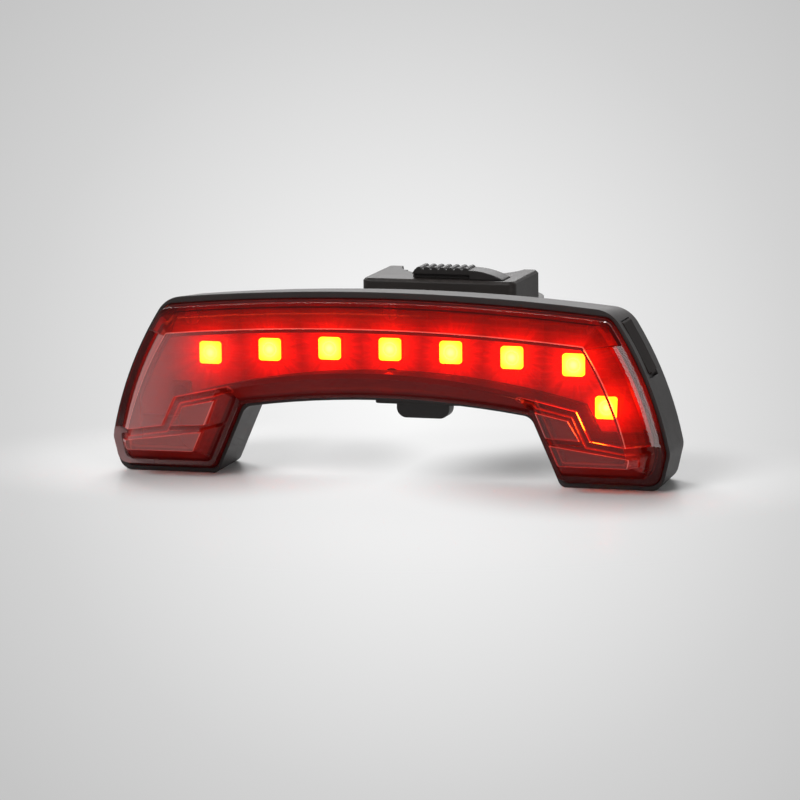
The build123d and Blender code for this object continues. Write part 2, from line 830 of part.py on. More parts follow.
def lock_channel():
    """Slot in the top of the saddle for the key of the lock and its catch."""
    left = catch_left - lock_travel - lock_gap * 2
    right = catch_left + catch_width + lock_gap * 2
    catch_low = bridge_top + catch_clearance
    catch_top = catch_low + catch_thickness
    back = key_front + key_depth + slide_gap
    low = block((left, right), (saddle_front - overrun, back), (catch_low - slide_gap, catch_top + slide_gap))
    high = block((left, right), (key_front - slide_gap, back), (catch_low, saddle_top + overrun))
    return low + high


def lock_slider():
    """Ribbed thumb slider on the saddle whose catch moves over the clip."""
    floor = saddle_top + lock_gap
    top = floor + lock_height
    middle_x = (lock_ribs_right + lock_right) / 2
    profile = make_face([
        Polyline((lock_right, floor), (lock_left, floor), (lock_left, floor + lock_low_height),
                 (lock_left + lock_floor, top), (lock_ribs_right, top)),
        ThreePointArc((lock_ribs_right, top), (middle_x, floor + lock_height * 3 / 4), (lock_right, floor)),
    ])
    back = lock_front + lock_depth
    slider = slab(profile, lock_front, back)
    groove = block((lock_left - overrun, lock_ribs_right), (lock_front - overrun, lock_front + lock_undercut),
                   (floor, floor + lock_low_height))
    slider -= groove
    pitch = (lock_ribs_right - lock_left - lock_floor) / lock_rib_count
    for step in range(lock_rib_count):
        x = lock_left + lock_floor + pitch * (step + 1 / 2)
        rib = Pos(x, top - lock_rib_height / 2) * Circle(pitch / 2 * cos(pi / 6))
        slider += slab(rib, lock_front, back)
    right = catch_left + catch_width
    catch_low = bridge_top + catch_clearance
    slider += block((catch_left, right), (key_front, key_front + key_depth), (catch_low, floor + overrun))
    slider += block((catch_left, right), (catch_start, key_front + key_depth),
                    (catch_low, catch_low + catch_thickness))
    return slider


def half_ring(inner, outer, bottom, top, side):
    """Half of an upright ring round the post, in front of it (side -1) or behind it (side 1)."""
    ring = upright(0, post_y, outer, bottom, top) - upright(0, post_y, inner, bottom - overrun, top + overrun)
    near, far = clamp_gap / 2, 2 * clamp_radius
    limits = sorted((post_y + side * near, post_y + side * far))
    return ring & block((-far, far), tuple(limits), (bottom, top))


def grip_pad(bottom, top, side):
    """Rubber lining of one half of the clamp, with shallow grooves along the post."""
    pad = half_ring(grip_radius, seat_radius - grip_pad_seat, bottom, top, side)
    for step in range(grip_rib_count):
        angle = pi * (step + 1 / 2) / grip_rib_count
        x = (grip_radius + grip_pad_thickness) * cos(angle)
        y = post_y + side * (grip_radius + grip_pad_thickness) * sin(angle)
        pad -= upright(x, y, grip_rib_depth, bottom - overrun, top + overrun)
    return pad


def rear_clamp():
    """Rear half of the seatpost clamp with its two lugs."""
    ring = half_ring(seat_radius, clamp_radius, clamp_bottom, clamp_top, 1)
    start = post_y + clamp_gap / 2
    half = lug_width / 2
    lugs = block((-half, half), (start, start + lug_thickness), (lug_bottom, lug_top))
    lugs = fillet(lugs.edges().filter_by(Axis.Y), saddle_round)
    lugs -= upright(0, post_y, seat_radius, lug_bottom - overrun, lug_top + overrun)
    clamp = ring + lugs
    for side in (-1, 1):
        clamp -= rod(side * clamp_screw_x, lug_middle, clamp_screw_radius + clamp_screw_clearance,
                     start - overrun, start + lug_thickness + overrun)
        clamp -= rod(side * clamp_screw_x, lug_middle, clamp_screw_head + clamp_screw_clearance,
                     start + lug_thickness, rear_end)
    return clamp


def clamp_screws():
    """The two socket head screws that draw the halves of the clamp together."""
    seat = post_y + clamp_gap / 2 + lug_thickness
    tip = post_y - clamp_gap / 2 - saddle_lug_depth - screw_tip
    screws = []
    for side in (-1, 1):
        x = side * clamp_screw_x
        screw = rod(x, lug_middle, clamp_screw_radius, tip, seat)
        screw += rod(x, lug_middle, clamp_screw_head, seat, seat + clamp_screw_head_height)
        key = Pos(x, lug_middle) * RegularPolygon(hex_key, 6, major_radius=False)
        screw -= slab(key, seat + clamp_screw_head_height / 2, seat + clamp_screw_head_height + overrun)
        screws.append(screw)
    return Compound(children=screws)


def clamp_nuts():
    """The two nuts held in the lugs of the saddle."""
    front = post_y - clamp_gap / 2 - saddle_lug_depth
    nuts = []
    for side in (-1, 1):
        x = side * clamp_screw_x
        face = Pos(x, lug_middle) * RegularPolygon(nut_width / 2, 6, major_radius=False)
        face -= Pos(x, lug_middle) * Circle(clamp_screw_radius + nut_clearance)
        nuts.append(slab(face, front, front + nut_thickness - nut_clearance))
    return Compound(children=nuts)


def all_parts():
    """Every piece by its node name."""
    margin = grip_pad_margin
    return {
        "rear_housing": rear_housing(),
        "outer_lens": outer_lens(),
        "lens_gasket": lens_gasket(),
        "led_surround": led_surround(),
        "led_board": led_board(),
        "led_lamps": led_lamps(),
        "led_domes": led_domes(),
        "control_chip": chip(control_chip_x, control_chip_z, control_chip_size, control_chip_size, chip_height),
        "charger_chip": chip(charger_chip_x, charger_chip_z, charger_chip_size, charger_chip_size, chip_height),
        "receiver_module": chip(receiver_x, receiver_z, receiver_width, receiver_length, receiver_height),
        "receiver_antenna": receiver_antenna(),
        "battery_cell_left": battery_cell(-1),
        "battery_cell_right": battery_cell(1),
        "battery_pad_left": battery_pad(-1),
        "battery_pad_right": battery_pad(1),
        "inside_screws": inside_screws(),
        "usb_socket": usb_socket(),
        "usb_flap": usb_flap(),
        "power_switch": power_switch(),
        "power_button": power_button(),
        "button_seal": button_seal(),
        "rear_clip": rear_clip(),
        "clip_screws": clip_screws(),
        "bracket": bracket(),
        "lock_slider": lock_slider(),
        "saddle_pad": grip_pad(bracket_bottom + margin, saddle_top - margin, -1),
        "clamp_pad": grip_pad(clamp_bottom + margin, clamp_top - margin, 1),
        "rear_clamp": rear_clamp(),
        "clamp_screws": clamp_screws(),
        "clamp_nuts": clamp_nuts(),
    }


if __name__ == "__main__":
    os.makedirs("parts", exist_ok=True)
    for name, shape in all_parts().items():
        export_step(Pos(0, -middle_y, 0) * shape, f"parts/{name}.step")
    hinge_point, hinge_axis = flap_hinge()
    print("middle_y", round(middle_y, 4), "post_y", round(post_y - middle_y, 4))
    print("flap hinge", [round(v, 4) for v in (hinge_point.X, hinge_point.Y - middle_y, hinge_point.Z)],
          [round(v, 5) for v in (hinge_axis.X, hinge_axis.Y, hinge_axis.Z)])
    print("flank angle at the flap", round(degrees(flank_point(flap_height_share)[2]), 2))
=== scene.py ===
"""Looks for the arched bicycle turn signal light: its finishes, the studio and the camera."""

import logging
import math
from dataclasses import dataclass, field
from enum import Enum

import bpy
from mathutils import Matrix, Vector

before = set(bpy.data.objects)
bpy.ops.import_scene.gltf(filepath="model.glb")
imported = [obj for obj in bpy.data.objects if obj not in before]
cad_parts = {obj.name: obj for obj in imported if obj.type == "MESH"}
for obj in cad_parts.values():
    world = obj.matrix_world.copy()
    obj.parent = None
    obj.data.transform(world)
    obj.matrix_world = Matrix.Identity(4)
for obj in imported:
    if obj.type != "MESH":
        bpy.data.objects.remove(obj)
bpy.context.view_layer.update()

logging.basicConfig(level=logging.INFO, format="%(message)s")
log = logging.getLogger("light")

Colour = tuple[float, float, float]
Triple = tuple[float, float, float]
Span = tuple[float, float]
Point = tuple[float, float]

MM = 0.001
BLACK: Colour = (0.0, 0.0, 0.0)


class CellKind(Enum):
    """How the distance inside small cells is measured."""

    SHARP = "F1"
    SMOOTH = "SMOOTH_F1"


class Shade:
    """One value or colour in a material, on which Python's operators add Math nodes."""

    def __init__(self, recipe: "Recipe", socket: bpy.types.NodeSocket) -> None:
        """Keeps the recipe and the output socket."""
        self.recipe = recipe
        self.socket = socket

    def maths(self, operation: str, *others: "Shade | float") -> "Shade":
        """Adds one Math node.

        Args:
            operation: the Math node's operation.
            others: the second and third values, where the operation has them.

        Returns:
            The node's value.
        """
        inputs = dict(enumerate((self, *others)))
        return self.recipe.value("ShaderNodeMath", {"operation": operation}, inputs)

    def __add__(self, other: "Shade | float") -> "Shade":
        """self + other."""
        return self.maths("ADD", other)

    __radd__ = __add__

    def __mul__(self, other: "Shade | float") -> "Shade":
        """self * other."""
        return self.maths("MULTIPLY", other)

    __rmul__ = __mul__

    def __sub__(self, other: "Shade | float") -> "Shade":
        """self - other."""
        return self.maths("SUBTRACT", other)

    def __rsub__(self, other: float) -> "Shade":
        """other - self."""
        return self.recipe.value("ShaderNodeMath", {"operation": "SUBTRACT"}, {0: other, 1: self})

    def __truediv__(self, other: "Shade | float") -> "Shade":
        """self / other."""
        return self.maths("DIVIDE", other)

    def __pow__(self, other: "Shade | float") -> "Shade":
        """self ** other."""
        return self.maths("POWER", other)

    def lowest(self, other: "Shade | float") -> "Shade":
        """The smaller of the two."""
        return self.maths("MINIMUM", other)

    def highest(self, other: "Shade | float") -> "Shade":
        """The larger of the two."""
        return self.maths("MAXIMUM", other)

    def unsigned(self) -> "Shade":
        """The value without its sign."""
        return self.maths("ABSOLUTE")

    def fading(self, reach: float) -> "Shade":
        """1 at a distance of 0, and smaller by a factor of e for each further reach."""
        return (self * (-1.0 / reach)).maths("EXPONENT")

    def within(self, limits: Span) -> "Shade":
        """Adds a smooth step.

        Args:
            limits: the value below which the step is 0, and the one above which it is 1.

        Returns:
            The step, smooth between the two.
        """
        settings = {"interpolation_type": "SMOOTHSTEP"}
        inputs = {"Value": self, "From Min": limits[0], "From Max": limits[1]}
        return self.recipe.value("ShaderNodeMapRange", settings, inputs)

    def outside(self, limits: Span) -> "Shade":
        """The reverse of within: 1 below the first limit and 0 above the second."""
        return 1.0 - self.within(limits)


class Recipe:
    """A material while it is made: its node tree, and the values that its finish works with."""

    def __init__(self, name: str) -> None:
        """Starts an empty material.

        Args:
            name: the material's name.
        """
        self.material = bpy.data.materials.new(name)
        self.material.use_nodes = True
        self.tree = self.material.node_tree
        self.tree.nodes.clear()
        self.output = self.tree.nodes.new("ShaderNodeOutputMaterial")

    def node(self, kind: str, settings: dict | None = None,
             inputs: dict | None = None) -> bpy.types.Node:
        """Adds any node.

        Args:
            kind: the node's type.
            settings: its properties, which are set first; "stops" is a ramp's (place, colour) list.
            inputs: values, colours or Shades by socket name or number.

        Returns:
            The node.
        """
        made = self.tree.nodes.new(kind)
        for name, setting in (settings or {}).items():
            if name == "stops":
                self.set_stops(made.color_ramp, setting)
            else:
                setattr(made, name, setting)
        for name, given in (inputs or {}).items():
            socket = made.inputs[name]
            if isinstance(given, Shade):
                self.tree.links.new(given.socket, socket)
            elif isinstance(given, tuple) and socket.type == "RGBA":
                socket.default_value = (*given, 1.0)
            else:
                socket.default_value = given
        return made

    @staticmethod
    def set_stops(ramp: bpy.types.ColorRamp, stops: list[tuple[float, Colour]]) -> None:
        """Gives a colour ramp its stops.

        Args:
            ramp: the ramp.
            stops: the place and the colour of each stop, from low to high.
        """
        while len(ramp.elements) < len(stops):
            ramp.elements.new(0.5)
        for element, (place, colour) in zip(ramp.elements, stops):
            element.position = place
            element.color = (*colour, 1.0)

    def value(self, kind: str, settings: dict | None = None, inputs: dict | None = None,
              out: int | str = 0) -> Shade:
        """Adds any node, as node does, and takes one of its outputs."""
        return Shade(self, self.node(kind, settings, inputs).outputs[out])

    def place(self) -> Shade:
        """The point on the piece, in metres in the frame of the whole object."""
        return self.value("ShaderNodeTexCoord", out="Object")

    def parts(self, vector: Shade) -> tuple[Shade, ...]:
        """The three numbers of a vector."""
        split = self.node("ShaderNodeSeparateXYZ", inputs={0: vector})
        return tuple(Shade(self, output) for output in split.outputs)

    def axes(self) -> tuple[Shade, ...]:
        """The point's three coordinates in millimetres."""
        return tuple(part * (1.0 / MM) for part in self.parts(self.place()))

    def facing(self) -> tuple[Shade, ...]:
        """The surface's own normal, as three numbers."""
        return self.parts(self.value("ShaderNodeNewGeometry", out="Normal"))

    def noise(self, size_mm: float, detail: float = 3.0, rough: float = 0.55,
              where: Shade | None = None) -> Shade:
        """Adds smooth noise.

        Args:
            size_mm: how wide its blots are.
            detail: how many finer layers it has.
            rough: the share of each layer that the next one keeps.
            where: the point, if it isn't the plain one.

        Returns:
            The noise, about 0.5.
        """
        inputs = {
            "Vector": where or self.place(), "Scale": 1.0 / MM / size_mm,
            "Detail": detail, "Roughness": rough,
        }
        return self.value("ShaderNodeTexNoise", inputs=inputs)

    def cells(self, size_mm: float, kind: CellKind = CellKind.SHARP) -> Shade:
        """Adds small cells.

        Args:
            size_mm: how wide the cells are.
            kind: how the distance inside them is measured.

        Returns:
            The distance from the middle of the nearest cell, as a share of its width.
        """
        inputs = {"Vector": self.place(), "Scale": 1.0 / MM / size_mm}
        return self.value("ShaderNodeTexVoronoi", {"feature": kind.value}, inputs)

    def stretched(self, scale: Triple) -> Shade:
        """The point with each axis scaled, for streaks and brushing."""
        return self.value("ShaderNodeMapping", inputs={"Vector": self.place(), "Scale": scale})

    def blend(self, first: Shade | Colour, second: Shade | Colour, mask: Shade) -> Shade:
        """Adds a colour between two.

        Args:
            first: the colour where the mask is 0.
            second: the colour where the mask is 1.
            mask: the mask.

        Returns:
            The blended colour.
        """
        made = self.node("ShaderNodeMix", {"data_type": "RGBA"}, {0: mask, 6: first, 7: second})
        return Shade(self, made.outputs[2])

    def bumped(self, height: Shade, depth_mm: float, strength: float = 1.0,
               edge_mm: float = 0.0) -> Shade:
        """Adds a normal from a height.

        Args:
            height: the height, from 0 to 1.
            depth_mm: how deep 1 is.
            strength: how much of the bump shows.
            edge_mm: the radius by which edges look rounded, or 0 for none.

        Returns:
            The normal.
        """
        inputs = {"Height": height, "Distance": depth_mm * MM, "Strength": strength}
        if edge_mm:
            radius = {"Radius": edge_mm * MM}
            inputs["Normal"] = self.value("ShaderNodeBevel", {"samples": 4}, radius)
        return self.value("ShaderNodeBump", inputs=inputs)

    def show(self, shader: bpy.types.Node) -> None:
        """Links a shader to the material's output."""
        self.tree.links.new(shader.outputs[0], self.output.inputs["Surface"])

    def finish(self, inputs: dict) -> None:
        """Adds one Principled shader with these inputs and shows it."""
        self.show(self.node("ShaderNodeBsdfPrincipled", inputs=inputs))

    def mixed(self, first: bpy.types.Node, second: bpy.types.Node, mask: Shade) -> None:
        """Mixes two shaders and shows the mix.

        Args:
            first: the shader where the mask is 0.
            second: the shader where the mask is 1.
            mask: the mask.
        """
        mix = self.node("ShaderNodeMixShader", inputs={0: mask})
        for index, shader in enumerate((first, second), start=1):
            self.tree.links.new(shader.outputs[0], mix.inputs[index])
        self.show(mix)


@dataclass(frozen=True)
class Finish:
    """What every finish has: a name, nodes of its own, and a way onto the pieces."""

    name: str

    def paint(self, r: Recipe) -> None:
        """Adds the finish's nodes to a recipe."""
        raise NotImplementedError(self.name)

    def build(self) -> bpy.types.Material:
        """Makes the material.

        Returns:
            The material.
        """
        recipe = Recipe(self.name)
        self.paint(recipe)
        return recipe.material

    def onto(self, *nodes: str) -> None:
        """Makes the material and puts it on every slot of the nodes.

        Args:
            nodes: the nodes' names.
        """
        material = self.build()
        for name in nodes:
            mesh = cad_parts[name].data
            mesh.materials.clear()
            mesh.materials.append(material)
            log.info("dressed %s with %s", name, material.name)


@dataclass(frozen=True)
class MouldedPlastic(Finish):
    """Black moulded plastic with a spark-eroded grain, faint scuffs, and dust on what looks up."""

    colour: Colour = (0.011, 0.009, 0.009)
    warm: Colour = (0.018, 0.013, 0.012)
    rough: float = 0.46
    grain_mm: float = 0.35
    grain_depth_mm: float = 0.02
    grain_share: float = 0.7
    edge_mm: float = 0.35
    shine: float = 0.36
    clouds_mm: float = 9.0
    clouds_rough: float = 0.12
    fine_mm: float = 0.9
    fine_rough: float = 0.08
    dust: Colour = (0.075, 0.058, 0.054)
    dust_share: float = 0.45
    dust_facing: Span = (0.2, 1.0)
    dust_patches: Span = (0.35, 0.8)
    scuff: Colour = (0.050, 0.046, 0.045)
    scuff_share: float = 0.2
    scuff_gloss: float = 0.06
    scuff_stretch: Triple = (0.15, 1.0, 0.8)
    scuff_reach: Span = (0.62, 0.78)

    def paint(self, r: Recipe) -> None:
        """Adds the plastic's nodes.

        Args:
            r: the recipe to add to.
        """
        grain = r.cells(self.grain_mm, CellKind.SMOOTH)
        clouds = r.noise(self.clouds_mm, detail=4.0)
        fine = r.noise(self.fine_mm, detail=5.0)
        streaks = r.noise(1.0, detail=4.0, rough=0.6, where=r.stretched(self.scuff_stretch))
        streaks = streaks.within(self.scuff_reach)
        dusty = r.facing()[2].within(self.dust_facing) * fine.within(self.dust_patches)
        base = r.blend(self.colour, self.warm, clouds)
        base = r.blend(base, self.dust, dusty * self.dust_share)
        base = r.blend(base, self.scuff, streaks * self.scuff_share)
        rough = self.rough + (clouds - 0.5) * self.clouds_rough + fine * self.fine_rough
        height = grain * self.grain_share + fine * (1.0 - self.grain_share)
        r.finish({
            "Base Color": base, "Roughness": rough - streaks * self.scuff_gloss,
            "Specular IOR Level": self.shine,
            "Normal": r.bumped(height, self.grain_depth_mm, edge_mm=self.edge_mm),
        })


@dataclass(frozen=True)
class Rubber(Finish):
    """Soft black rubber or silicone: dull, with a dusty bloom and fine pits."""

    colour: Colour = (0.022, 0.021, 0.021)
    bloom: Colour = (0.050, 0.046, 0.044)
    rough: float = 0.68
    pits_mm: float = 0.5
    pit_depth_mm: float = 0.015
    shine: float = 0.35
    sheen_share: float = 0.2
    bloom_mm: float = 4.0
    bloom_patches: Span = (0.3, 0.9)
    bloom_rough: float = 0.2

    def paint(self, r: Recipe) -> None:
        """Adds the rubber's nodes.

        Args:
            r: the recipe to add to.
        """
        bloom = r.noise(self.bloom_mm, detail=6.0, rough=0.65)
        r.finish({
            "Base Color": r.blend(self.colour, self.bloom, bloom.within(self.bloom_patches)),
            "Roughness": self.rough + (bloom - 0.5) * self.bloom_rough,
            "Specular IOR Level": self.shine, "Sheen Weight": self.shine * self.sheen_share,
            "Normal": r.bumped(r.noise(self.pits_mm, detail=2.0), self.pit_depth_mm),
        })


@dataclass(frozen=True)
class Metal(Finish):
    """Plated or stamped metal with fine brushing and a little tarnish."""

    colour: Colour
    tarnish: Colour
    rough: float = 0.32
    brush: Triple = (1.0, 6.0, 1.0)
    brush_mm: float = 0.25
    brush_depth_mm: float = 0.006
    brush_rough: float = 0.15
    spots_mm: float = 1.6
    spots_reach: Span = (0.45, 0.8)
    spots_rough: float = 0.08

    def paint(self, r: Recipe) -> None:
        """Adds the metal's nodes.

        Args:
            r: the recipe to add to.
        """
        lines = r.noise(self.brush_mm, rough=0.6, where=r.stretched(self.brush))
        spots = r.noise(self.spots_mm, detail=5.0, rough=0.6)
        r.finish({
            "Base Color": r.blend(self.colour, self.tarnish, spots.within(self.spots_reach)),
            "Metallic": 1.0,
            "Roughness": self.rough + lines * self.brush_rough + spots * self.spots_rough,
            "Normal": r.bumped(lines, self.brush_depth_mm),
        })


@dataclass(frozen=True)
class LampRow:
    """Places of the lamps in mm, as every finish that they light needs them.

    Seven lamps lie along the arch, and one more is lit in the right leg.
    """

    pitch: float = 14.0
    height: float = 28.9
    arc: float = 850.0
    last: float = 3.0
    leg_x: float = 49.4
    leg_z: float = 17.6
    leg_weight: float = 1.25
    lit_x: Span = (-46.0, -44.0)
    ray_turns: float = 2.6
    ray_shift: float = 17.0
    ray_scale: float = 2.0

    def from_nearest(self, r: Recipe) -> tuple[Shade, Shade, Shade]:
        """Measures from each point to the lamps that are lit.

        Args:
            r: the recipe to add to.

        Returns:
            Distance in mm to the nearest lit lamp, and the angle round the nearest one in the
            row with that one's number.
        """
        x, _, z = r.axes()
        number = (x / self.pitch).maths("ROUND").highest(-self.last).lowest(self.last)
        across = x - number * self.pitch
        rise = z - (self.height - (number * number) * (self.pitch**2 / self.arc))
        row = (across * across + rise * rise) ** 0.5
        leg_x, leg_z = x - self.leg_x, z - self.leg_z
        leg = (leg_x * leg_x + leg_z * leg_z) ** 0.5
        return row.lowest(leg * self.leg_weight), rise.maths("ARCTAN2", across), number

    def rays(self, r: Recipe, angle: Shade, number: Shade) -> Shade:
        """Adds faint streaks of painted light that run out from each lamp.

        Args:
            r: the recipe to add to.
            angle: the angle round the lamp.
            number: the lamp's number, which makes its streaks differ from the next one's.

        Returns:
            The streaks, about 0.5.
        """
        inputs = {
            "W": angle * self.ray_turns + number * self.ray_shift, "Scale": self.ray_scale,
            "Detail": 3.0, "Roughness": 0.7,
        }
        return r.value("ShaderNodeTexNoise", {"noise_dimensions": "1D"}, inputs)

    def lit(self, x: Shade) -> Shade:
        """1 on the lamps that are lit, and 0 on the one in the left leg."""
        return x.within(self.lit_x)


@dataclass(frozen=True)
class ClearLens(Finish):
    """Clear red moulding, polished, with fine wiping marks and moulding specks.

    It carries painted light: a painted glow near the lamps, and painted highlights on its steps,
    along its creases and along the lines of its grooves and pads. Painted shade covers the facets
    under the arch and the inward faces of the legs, and a painted greyish sheen (a painted
    reflection) lies on the left side and the pads.
    Places are in mm in the frame of the whole object.
    """

    name: str = "red_lens"
    tint: Colour = (0.80, 0.050, 0.014)
    deep_share: float = 0.80
    bend: float = 1.29
    # glow: painted glow of the lamps in the lens, also the colour of its painted highlights on
    # steps, grooves and pad borders
    glow: Colour = (1.0, 0.030, 0.016)
    glow_mm: float = 11.0
    edge_mm: float = 0.15
    waves_mm: float = 24.0
    wave_depth_mm: float = 0.10
    wave_strength: float = 0.35
    marks_mm: float = 0.9
    marks_stretch: Triple = (0.25, 1.0, 1.0)
    specks_mm: float = 2.6
    specks_reach: Span = (0.0, 0.06)
    # crease: painted highlight along the front creases
    crease: Colour = (0.75, 0.16, 0.12)
    crease_facing: Span = (0.90, 0.97)
    crease_y: Span = (-46.4, -46.15)
    steps_facing: Span = (0.35, 0.75)
    steps_y: Span = (-41.0, -40.0)
    # painted shade of the facets under the arch and of the inward faces of the legs
    painted_shade: Colour = (0.055, 0.003, 0.003)
    under_facing: Span = (0.30, 0.55)
    under_y: Span = (-39.2, -38.6)
    under_shade_share: float = 0.90
    inward_facing: Span = (0.25, 0.5)
    inward_shade_share: float = 0.60
    # painted greyish sheen on the front faces of the left side, a painted reflection
    painted_sheen: Colour = (0.62, 0.40, 0.40)
    painted_sheen_facing: Span = (0.85, 0.98)
    painted_sheen_x: Span = (-62.0, -18.0)
    painted_sheen_share: float = 0.26
    raised_y: Span = (-43.4, -42.6)
    groove: tuple[Point, ...] = ((33.4, 20.7), (45.5, 18.0), (48.6, 11.5), (65.7, 9.0))
    groove_half: float = 0.8
    groove_line: Span = (0.05, 0.28)
    # pad: painted greyish sheen on the raised pads, stronger on the left leg than on the right
    pad: Colour = (0.30, 0.13, 0.125)
    pads: tuple[tuple[Point, ...], ...] = (
        ((36.7, 18.2), (44.2, 16.6), (46.8, 12.3), (38.9, 12.7)),
        ((39.9, 11.0), (59.2, 8.4), (59.1, 6.5), (41.9, 6.6)),
    )
    pad_edge: Span = (0.0, 0.12)
    pad_line: Span = (0.05, 0.25)
    pad_x: Span = (-20.0, 20.0)
    pad_sheen_left: float = 0.42
    pad_sheen_right: float = 0.12

    def paint(self, r: Recipe) -> None:
        """Adds the lens's nodes: a clear shader, with an opaque one over the places of painted
        shade and painted sheen.

        Args:
            r: the recipe to add to.
        """
        x, y, z = r.axes()
        side, front, top = r.facing()
        wide, ahead = x.unsigned(), front * -1.0
        waves = r.noise(self.waves_mm, detail=1.0)
        marks = r.noise(self.marks_mm, 5.0, 0.65, r.stretched(self.marks_stretch))
        specks = r.cells(self.specks_mm).outside(self.specks_reach)
        # under and inward: where painted shade covers the facets under the arch and the inward
        # faces of the legs
        under = (top * -1.0).within(self.under_facing) * y.outside(self.under_y)
        inward = (side * x.maths("SIGN") * -1.0).within(self.inward_facing)
        # painted sheen: a painted reflection on the front faces of the left side
        painted_sheen = x.outside(self.painted_sheen_x) * ahead.within(self.painted_sheen_facing)
        raised = y.outside(self.raised_y)
        pads, borders = self.on_pads(wide, z)
        pads = pads * raised
        grooves = (self.from_path(wide, z) - self.groove_half).unsigned().outside(self.groove_line)
        # steps: side faces near the front, which get a painted highlight
        steps = ahead.unsigned().outside(self.steps_facing) * y.outside(self.steps_y)
        # painted highlight along the front creases, left off where the painted shade lies
        creases = ahead.outside(self.crease_facing) * y.outside(self.crease_y) * (1.0 - under)
        # painted glow of the lamps inside the lens, falling off with distance from them
        near = LampRow().from_nearest(r)[0].fading(self.glow_mm)
        # painted highlights on the steps and along the grooves and pad borders, with the painted
        # glow near the lamps, shown as emission
        lines = (grooves + borders * 0.7).lowest(1.0) * raised * (marks * 1.2 + 0.1)
        painted_glow = near * 0.05 + 0.004 + steps * marks * 0.16 + lines * (near * 0.55 + 0.055)
        shine = r.blend(BLACK, self.glow, painted_glow.lowest(1.0))
        shine = r.blend(shine, self.crease, creases * (0.35 + marks * 0.4))
        normal = r.bumped(waves, self.wave_depth_mm, self.wave_strength, self.edge_mm)
        deep = tuple(part * self.deep_share for part in self.tint)
        clear = r.node("ShaderNodeBsdfPrincipled", inputs={
            "Base Color": r.blend(self.tint, deep, waves),
            "Roughness": 0.015 + marks * 0.035 + specks * 0.12,
            "IOR": self.bend, "Transmission Weight": 1.0, "Specular IOR Level": 0.5,
            "Emission Color": shine, "Emission Strength": 1.0, "Normal": normal,
        })
        # colour of the opaque cover: painted shade, with painted greyish sheen on the left side and
        # on the pads
        painted_shade_and_sheen = r.blend(r.blend(self.painted_shade, self.painted_sheen, painted_sheen), self.pad, pads)
        shade_and_sheen_shader = r.node("ShaderNodeBsdfPrincipled", inputs={
            "Base Color": painted_shade_and_sheen, "Roughness": 0.34 + marks * 0.1, "Specular IOR Level": 0.0,
            "Emission Color": shine, "Emission Strength": 0.6, "Normal": normal,
        })
        # painted sheen on the pads: stronger on the left leg, weaker on the right
        pad_sheen_share = self.pad_sheen_left - x.within(self.pad_x) * (self.pad_sheen_left - self.pad_sheen_right)
        # share of the opaque cover: painted shade under the arch and on inward faces, painted sheen
        # on the left side and the pads
        share = (under * self.under_shade_share).highest(inward * self.inward_shade_share)
        r.mixed(clear, shade_and_sheen_shader, share.highest(painted_sheen * self.painted_sheen_share).highest(pads * pad_sheen_share))

    def from_path(self, wide: Shade, z: Shade) -> Shade:
        """Measures from each point to the middle line of the grooves.

        Args:
            wide: how far the point is from the middle of the light, in mm.
            z: its height in mm.

        Returns:
            The distance in mm.
        """
        nearest = None
        for (x0, z0), (x1, z1) in zip(self.groove, self.groove[1:]):
            run_x, run_z = x1 - x0, z1 - z0
            square = run_x * run_x + run_z * run_z
            along = ((wide - x0) * run_x + (z - z0) * run_z) / square
            along = along.highest(0.0).lowest(1.0)
            off_x, off_z = wide - x0 - along * run_x, z - z0 - along * run_z
            away = (off_x * off_x + off_z * off_z) ** 0.5
            nearest = away if nearest is None else nearest.lowest(away)
        return nearest

    def on_pads(self, wide: Shade, z: Shade) -> tuple[Shade, Shade]:
        """Finds the raised pads on the two legs.

        Args:
            wide: how far the point is from the middle of the light, in mm.
            z: its height in mm.

        Returns:
            A mask of the pads, and one of the lines round them.
        """
        inside, border = None, None
        for pad in self.pads:
            depth = None
            for (x0, z0), (x1, z1) in zip(pad, pad[1:] + pad[:1]):
                length = math.hypot(x1 - x0, z1 - z0)
                edge = ((wide - x0) * (z1 - z0) - (z - z0) * (x1 - x0)) / length
                depth = edge if depth is None else depth.lowest(edge)
            within, line = depth.within(self.pad_edge), depth.unsigned().outside(self.pad_line)
            inside = within if inside is None else inside.highest(within)
            border = line if border is None else border.highest(line)
        return inside, border


